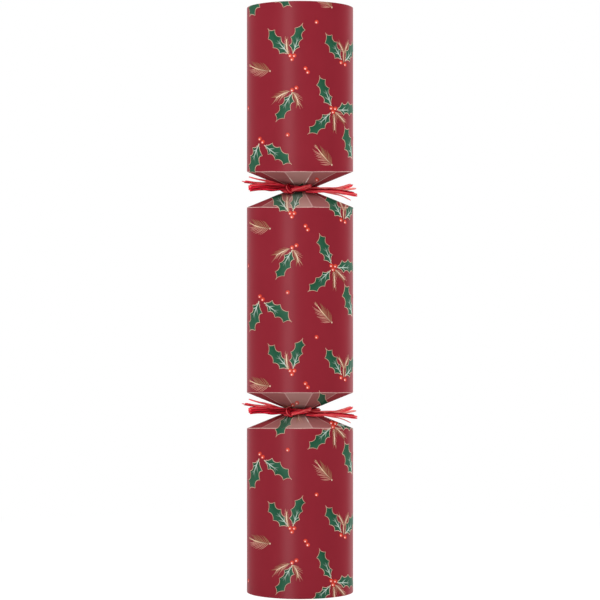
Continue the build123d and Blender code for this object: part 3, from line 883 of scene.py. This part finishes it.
# points in mm from the middle of the waist; spread is the bundle's half height along it
bundles = {
    "leftMain": {
        "blunt": 0.85, "strips": 8, "width": 2.1, "twist": 1.1, "ends": (0.93, 1.0), "tone": 0.42,
        "spread": (0.6, 0.9, 1.3, 1.4, 1.3),
        "route": ((-3.0, -12.6, -0.2), (-9, -13.0, 0.2), (-16, -12.0, 1.0), (-21, -10.4, 1.0),
                  (-26.6, -8.4, 0.4))},
    "leftMiddle": {
        "blunt": 0.75, "strips": 3, "width": 1.8, "twist": 1.0, "ends": (0.94, 1.0), "tone": 0.48,
        "spread": (0.3, 0.4, 0.5, 0.45, 0.25),
        "route": ((-3.0, -12.2, 0.2), (-9, -12.6, 0.9), (-16, -11.5, 2.0), (-23, -9.2, 2.9),
                  (-30.0, -6.6, 3.7))},
    "leftTop": {
        "blunt": 0.6, "strips": 1, "width": 1.0, "twist": 0.8, "ends": (0.96, 1.0), "tone": 0.95,
        "spread": (0.2, 0.35, 0.35, 0.3, 0.2),
        "route": ((-3.0, -12.0, 0.6), (-9, -12.2, 2.0), (-16, -11.2, 3.7), (-22, -9.0, 5.2),
                  (-27.0, -7.0, 6.6))},
    "rightMain": {
        "blunt": 0.6, "strips": 5, "width": 1.5, "twist": 1.5, "ends": (0.9, 1.0), "tone": 0.42,
        "spread": (0.5, 0.55, 0.7, 0.85, 0.6),
        "route": ((3.0, -12.8, -0.9), (9, -13.2, -1.0), (16, -12.3, -1.1), (22.5, -10.1, -1.8),
                  (29.8, -6.8, -3.1))},
    "rightUpper": {
        "blunt": 0.7, "strips": 3, "width": 1.4, "twist": 0.9, "ends": (0.88, 1.0), "tone": 0.76,
        "spread": (0.3, 0.4, 0.5, 0.6, 0.5),
        "route": ((6.0, -11.4, -0.5), (10, -12.5, -0.4), (16, -11.8, -0.3), (21.5, -9.8, 0.5),
                  (27.6, -7.0, 2.2))},
    "rightLong": {
        "blunt": 0.6, "strips": 1, "width": 1.4, "twist": 0.7, "ends": (0.98, 1.0), "tone": 0.76,
        "spread": (0.2, 0.3, 0.3, 0.3, 0.25),
        "route": ((6.0, -11.6, -0.7), (10, -12.7, -0.7), (16, -12.0, -0.6), (22.5, -9.6, -0.2),
                  (29.6, -6.6, 0.3))},
    "rightLow": {
        "blunt": 0.5, "strips": 1, "width": 1.2, "twist": 0.6, "ends": (0.98, 1.0), "tone": 0.5,
        "spread": (0.2, 0.3, 0.3, 0.35, 0.3),
        "route": ((4.0, -12.5, -1.6), (10, -12.5, -1.3), (16.5, -11.4, -2.0), (22.0, -9.6, -3.5),
                  (26.8, -7.6, -6.0))},
    "knotBand": {
        "blunt": 1, "strips": 6, "width": 1.5, "twist": 2.8, "ends": (1.0, 1.0), "tone": 0.66,
        "spread": (0.7, 0.9, 0.9, 0.85, 0.9, 0.8),
        "route": ((-8.0, -8.6, -1.0), (-6.2, -12.0, -1.3), (-3.6, -14.0, -0.8), (0.4, -14.3, 0.0),
                  (4.2, -13.8, 0.8), (5.6, -10.4, 0.7))},
    "leftTuck": {
        "blunt": 1, "strips": 4, "width": 1.4, "twist": 1.0, "ends": (1.0, 1.0), "tone": 0.55,
        "spread": (0.7, 1.0, 1.1, 1.0, 0.7),
        "route": ((-5.0, -10.8, 1.4), (-6.4, -13.2, 1.2), (-6.1, -14.3, -0.4), (-5.0, -13.8, -1.8),
                  (-4.2, -11.6, -2.1))},
}


def raffiaFibre():  # dyed raffia: satin, with long fibres, painted shade in the grooves along strip edges, and paler where split
    material, tree = newMaterial("dyedRaffia")
    place = addNode(tree, "ShaderNodeUVMap", uv_map="strip")
    tone = addNode(tree, "ShaderNodeAttribute", attribute_name="tone")
    grain = addNode(tree, "ShaderNodeMapping", {"Vector": place, "Scale": (1 / (7 * mm), 6.0, 1.0)})
    fibre = addNode(tree, "ShaderNodeTexNoise", {"Vector": grain, "Scale": 1.0, "Detail": 5.0})
    level = addNode(tree, "ShaderNodeMath", {0: fibre, 1: tone.outputs["Fac"]}, operation="ADD")
    half = addNode(tree, "ShaderNodeMath", {0: level, 1: 0.5}, operation="MULTIPLY")
    dye = addNode(tree, "ShaderNodeValToRGB", {"Fac": half})
    stops = dye.color_ramp.elements
    for index, (spot, shade) in enumerate(raffia["dyesAndPaintedShade"]):  # the ramp starts with its two ends
        stop = stops[index] if index < 2 else stops.new(spot)
        stop.position = spot
        stop.color = linear(shade)
    fine = addNode(tree, "ShaderNodeMapping", {"Vector": place, "Scale": (1 / (5 * mm), 14.0, 1.0)})
    lines = addNode(tree, "ShaderNodeTexNoise", {"Vector": fine, "Scale": 1.0, "Detail": 3.0})
    bump = addNode(tree, "ShaderNodeBump", {"Height": lines, "Strength": 0.7, "Distance": 0.12 * mm})
    return finished(material, addNode(tree, "ShaderNodeBsdfPrincipled", {
        "Base Color": dye, "Roughness": 0.48, "IOR": 1.5, "Specular IOR Level": 0.02, "Normal": bump}))


def smoothRoute(points):  # points along a smooth curve near the route
    data = bpy.data.curves.new("route", "CURVE")
    data.dimensions = "3D"
    data.resolution_u = 16
    spline = data.splines.new("NURBS")
    spline.points.add(len(points) - 1)
    for point, place in zip(spline.points, points):
        point.co = (*place, 1)
    spline.order_u = 3
    spline.use_endpoint_u = True
    holder = bpy.data.objects.new("route", data)
    mesh = bpy.data.meshes.new_from_object(holder)
    path = [vertex.co.copy() for vertex in mesh.vertices]
    bpy.data.meshes.remove(mesh)
    bpy.data.objects.remove(holder)
    bpy.data.curves.remove(data)
    return path


def inSteps(path, count):  # the same path in equal steps
    reach = [0.0]
    for a, b in zip(path, path[1:]):
        reach.append(reach[-1] + (b - a).length)
    places, k = [], 0
    for step in range(count + 1):
        want = reach[-1] * step / count
        while k < len(path) - 2 and reach[k + 1] < want:
            k += 1
        share = (want - reach[k]) / max(reach[k + 1] - reach[k], 1e-9)
        places.append(path[k].lerp(path[k + 1], min(1.0, max(0.0, share))))
    return places, reach[-1]


def valueAlong(values, share):  # value along a bundle, from a few given ones
    place = share * (len(values) - 1)
    k = min(int(place), len(values) - 2)
    return values[k] + (values[k + 1] - values[k]) * (place - k)


def facing(places, k):  # tangent, outward and sideways at a step
    tangent = (places[min(k + 1, len(places) - 1)] - places[max(k - 1, 0)]).normalized()
    out = Vector((places[k].x, places[k].y - raffia["hub"], 0)).normalized()
    out = (out - tangent * out.dot(tangent)).normalized()
    return tangent, out, tangent.cross(out)


def raffiaStrip(places, length, width, tone, blunt, chance):
    count = len(places) - 1
    bpy.ops.object.select_all(action="DESELECT")
    bpy.ops.mesh.primitive_grid_add(x_subdivisions=count, y_subdivisions=raffia["rows"], size=1)
    strip = bpy.context.object
    lean = chance.uniform(-raffia["lean"], raffia["lean"])
    roll = chance.uniform(-raffia["roll"], raffia["roll"])
    pitch = chance.uniform(*raffia["swayWave"]) * mm
    start = chance.uniform(0, 6.28)
    curl = chance.uniform(*raffia["curl"]) * chance.choice((-1, 1))
    flat, tones = [], []
    for vertex in strip.data.vertices:
        share, across = vertex.co.x + 0.5, vertex.co.y  # 0 to 1, and -0.5 to 0.5
        k = min(int(round(share * count)), count)
        tangent, out, side = facing(places, k)
        turn = math.radians(lean + roll * share + raffia["sway"] * math.sin(start + share * length / pitch))
        out, side = (Matrix.Rotation(turn, 3, tangent) @ axis for axis in (out, side))
        taper = min(1.0, blunt + (1 - share) * length / raffia["taper"])
        uneven = raffia["uneven"] * (1 - math.sin(start * 3 + share * length / raffia["unevenWave"]))
        here = width * mm * taper * (1 - uneven)
        wave = raffia["rippleSlant"] * across + start + share * length / raffia["rippleWave"]
        lift = here * (curl * (0.25 - across * across) + raffia["ripple"] * math.sin(wave))
        flat.append((share * length, across + 0.5))
        pale = raffia["tipPale"] * share if blunt < 1 else 0
        # painted shade along each strip's edges
        tones.append(tone + pale - raffia["paintedEdgeShade"] * abs(2 * across) ** 3)
        vertex.co = places[k] + side * across * here + out * lift
    shift = chance.uniform(0, 1)
    flatMap(strip, "strip", [(s + shift, t + shift * 7) for s, t in flat])
    pointValues(strip, "tone", tones)
    applied(strip, "SOLIDIFY", thickness=raffia["thickness"], offset=0)
    return strip


def raffiaBundle(path, style, chance):
    span = sum((b - a).length for a, b in zip(path, path[1:]))
    count = max(10, round(span / raffia["step"]))
    places, length = inSteps(path, count)
    made = []
    for index in range(style["strips"]):
        phase = 2 * math.pi * (index + chance.uniform(-0.3, 0.3)) / style["strips"]
        core = raffia["deep"] if index % 3 == 2 else 1.0
        stop = max(6, round(count * chance.uniform(*style["ends"])))
        wobble = chance.uniform(0, 6.28)
        own = []
        for k in range(stop + 1):
            tangent, out, side = facing(places, k)
            share = k / count
            swing = phase + style["twist"] * share
            wide = valueAlong(style["spread"], share) * mm * core
            stray = raffia["stray"] * math.sin(wobble + share * length / raffia["strayWave"])
            sideways = wide * math.cos(swing) + stray
            own.append(places[k] + side * sideways + out * (raffia["flatness"] * wide * math.sin(swing)))
        width = style["width"] * chance.uniform(*raffia["widthChance"])
        tone = style["tone"] + chance.uniform(-raffia["toneChance"], raffia["toneChance"])
        made.append(raffiaStrip(own, length * stop / count, width, tone, style["blunt"], chance))
    return made


def raffiaTie(name, waist):
    chance = random.Random(23)
    strips = []
    for style in bundles.values():
        strips += raffiaBundle(smoothRoute([Vector(place) * mm for place in style["route"]]), style, chance)
    for reach, height, start in raffia["turns"]:
        ring = []
        for k in range(17):
            angle = math.radians(start + k * raffia["sweep"] / 16)
            swell = reach + raffia["turnGrowth"] * k / 16 + raffia["turnWave"] * math.sin(3 * angle)
            ring.append(Vector((swell * math.cos(angle), swell * math.sin(angle), height)) * mm)
        strips += raffiaBundle(smoothRoute(ring), raffia["turnStyle"], chance)
    tie = joined(strips, name)
    tie.data.materials.append(raffiaFibre())
    tie.data.transform(Matrix.Translation((0, 0, waist)))
    only(tie)
    bpy.ops.object.shade_smooth_by_angle(angle=raffia["smooth"])
    return tie


upperTie = raffiaTie("upperRaffiaTie", upperWaist)
lowerTie = copied(upperTie)
lowerTie.name = lowerTie.data.name = "lowerRaffiaTie"
lowerTie.data.transform(Matrix.Translation((0, 0, lowerWaist - upperWaist)))
for tie, end in ((upperTie, "upper"), (lowerTie, "lower")):
    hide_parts(end + "_raffia_tie")
    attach(tie, end + "_end")
print("raffia tied:", len(upperTie.data.polygons))

# what is inside: the snap, the paper crown, the motto slip and a small spinning top keep their CAD shapes
insides = {
    "snapCard": {  # dull buff card
        "colours": ("#cfc4ae", "#e2d9c6"), "grainMm": (0.8, 0.8, 4.0), "roughness": 0.85, "bump": 0.2},
    "frictionGrit": {  # dark and rough
        "colours": ("#3a332f", "#6a5c52"), "grainMm": (0.25, 0.25, 0.25), "roughness": 0.95, "bump": 0.8},
    "snapCompound": {  # grey and crusted
        "colours": ("#7c7a78", "#a5a19a"), "grainMm": (0.35, 0.35, 0.35), "roughness": 0.8, "bump": 0.7},
    "sleevePaper": {  # brown paper, streaked lengthwise
        "colours": ("#b99a70", "#d0b48b"), "grainMm": (0.6, 0.6, 5.0), "roughness": 0.88, "bump": 0.25},
    "crownTissue": {  # yellow tissue, softly creased
        "colours": ("#d8a32c", "#ecc24f"), "grainMm": (2.5, 2.5, 1.2), "roughness": 0.75, "bump": 0.35},
    "slipPaper": {  # smooth cream paper
        "colours": ("#e9e4d6", "#f6f2e8"), "grainMm": (0.5, 0.5, 0.8), "roughness": 0.8, "bump": 0.1},
    "mouldedPolystyrene": {  # glossy green plastic
        "colours": ("#347a54", "#428c64"), "grainMm": (6.0, 6.0, 3.0), "roughness": 0.32, "bump": 0.04},
    "birchDowel": {  # pale wood with a fine long grain
        "colours": ("#c8a373", "#e2c79a"), "grainMm": (0.35, 0.35, 6.0), "roughness": 0.6, "bump": 0.15},
}
insideNodes = {
    "snap_upper_strip": "snapCard", "snap_lower_strip": "snapCard", "snap_friction_patch": "frictionGrit",
    "snap_powder_patch": "snapCompound", "snap_sleeve": "sleevePaper", "paper_crown": "crownTissue",
    "motto_slip": "slipPaper", "top_disc": "mouldedPolystyrene", "top_spindle": "birchDowel",
}
stuffs = {name: grained(name, finish) for name, finish in insides.items()}
for node, stuff in insideNodes.items():
    for slot in frame["nodes"][node].material_slots:
        slot.material = stuffs[stuff]
print("insides finished:", len(insideNodes))

# camera at the photograph's place: level with the middle, far enough for the rim's slight arch
shot = {"distance": 1.06, "lens": 121.5, "sensor": 36.0, "height": topRim / 2}
cameraData = bpy.data.cameras.new("photoCamera")
cameraData.lens = shot["lens"]
cameraData.sensor_width = shot["sensor"]
camera = bpy.data.objects.new("photoCamera", cameraData)
scene.collection.objects.link(camera)
camera.location = (0, -shot["distance"], shot["height"])
camera.rotation_euler = (math.pi / 2, 0, 0)
scene.camera = camera
scene.view_settings.view_transform = "Standard"

# soft studio light: tall strips that only draw the long highlights, softer lamps for the rest
lamps = {
    "stripLeft": {"azimuth": -24.5, "distance": 1.1, "height": 0.2, "size": (0.42, 1.4), "power": 34.0,
                  "gleam": True},
    "stripRight": {"azimuth": 140, "distance": 0.9, "height": 0.2, "size": (0.3, 1.4), "power": 1.3,
                   "gleam": True},
    "key": {"azimuth": -12, "distance": 1.1, "height": 0.42, "size": (0.6, 0.5), "power": 1.7},
    "rimRight": {"azimuth": 128, "distance": 0.9, "height": 0.2, "size": (0.3, 1.2), "power": 6.4},
    "rimLeft": {"azimuth": -132, "distance": 0.9, "height": 0.2, "size": (0.3, 1.2), "power": 3.6},
    "sideRight": {"azimuth": 72, "distance": 0.7, "height": 0.95, "size": (0.7, 0.7), "power": 2.4},
    "sideLeft": {"azimuth": -72, "distance": 0.7, "height": 0.95, "size": (0.7, 0.7), "power": 3.0},
    "highFill": {"azimuth": -4, "distance": 0.9, "height": 0.9, "size": (0.8, 0.4), "power": 5.9},
    "lowRight": {"azimuth": 64, "distance": 0.6, "height": 0.04, "size": (0.5, 0.06), "power": 0.65},
    "lowLeft": {"azimuth": -64, "distance": 0.6, "height": 0.04, "size": (0.5, 0.06), "power": 0.55},
}
for name, lamp in lamps.items():
    data = bpy.data.lights.new(name, "AREA")
    data.shape = "RECTANGLE"
    data.size, data.size_y = lamp["size"]
    data.energy = lamp["power"]
    holder = bpy.data.objects.new(name, data)
    holder.visible_glossy = lamp.get("gleam", False)
    holder.visible_diffuse = not holder.visible_glossy
    scene.collection.objects.link(holder)
    turn = math.radians(lamp["azimuth"])
    holder.location = (lamp["distance"] * math.sin(turn), -lamp["distance"] * math.cos(turn), lamp["height"])
    aim = Vector((0, 0, topRim / 2)) - holder.location
    holder.rotation_euler = aim.to_track_quat("-Z", "Y").to_euler()

stage = {
    "ambient": 0.17,  # the surround's light on the part, though it shows as white
    "floor": 6.0,
    "near": 0.06,  # from here to far the floor fades into the white
    "far": 0.4,
    "nearWhite": 0.72,
    "nearPower": 1.25,
    "grey": (0.75, 0.75, 0.75, 1),
    "white": (1, 1, 1, 1),
}


def shownRays(tree):  # 1 for rays that show the surround itself, 0 for those that light the part
    path = addNode(tree, "ShaderNodeLightPath").outputs
    direct = addNode(tree, "ShaderNodeMath", {
        0: path["Is Camera Ray"], 1: path["Is Transmission Ray"]}, operation="MAXIMUM")
    return addNode(tree, "ShaderNodeMath", {0: direct, 1: path["Is Glossy Ray"]}, operation="MAXIMUM")


surround = bpy.data.worlds.new("paleSurround")
surround.use_nodes = True
scene.world = surround
tree = surround.node_tree
tree.nodes.clear()
strength = addNode(tree, "ShaderNodeMapRange", {
    0: shownRays(tree), 1: 0.0, 2: 1.0, 3: stage["ambient"], 4: 1.0})
glow = addNode(tree, "ShaderNodeBackground", {"Color": stage["white"], "Strength": strength})
addNode(tree, "ShaderNodeOutputWorld", {"Surface": glow})

bpy.ops.object.select_all(action="DESELECT")
bpy.ops.mesh.primitive_plane_add(size=stage["floor"], location=(0, 0, 0))
floor = bpy.context.object
floor.name = "paleFloor"
material, tree = newMaterial("paleFloor")  # a plain pale sheet, lost in white a little way from the part
place = addNode(tree, "ShaderNodeTexCoord")
away = addNode(tree, "ShaderNodeVectorMath", {0: place.outputs["Object"]}, operation="LENGTH")
whiteness = addNode(tree, "ShaderNodeMapRange", {
    0: away, 1: stage["near"], 2: stage["far"], 3: stage["nearWhite"], 4: 1.0})
power = addNode(tree, "ShaderNodeMapRange", {
    0: away, 1: stage["near"], 2: stage["far"], 3: stage["nearPower"], 4: 1.0})
share = addNode(tree, "ShaderNodeMath", {0: whiteness, 1: shownRays(tree)}, operation="MULTIPLY")
plain = addNode(tree, "ShaderNodeBsdfDiffuse", {"Color": stage["grey"]})
white = addNode(tree, "ShaderNodeEmission", {"Color": stage["white"], "Strength": power})
mixed = addNode(tree, "ShaderNodeMixShader", {0: share, 1: plain, 2: white})
floor.data.materials.append(finished(material, mixed))
floor.visible_glossy = False  # the long highlights run down to the foot
floor.visible_shadow = False
print("lamps, surround and floor set:", len(lamps))

print("scene ready")
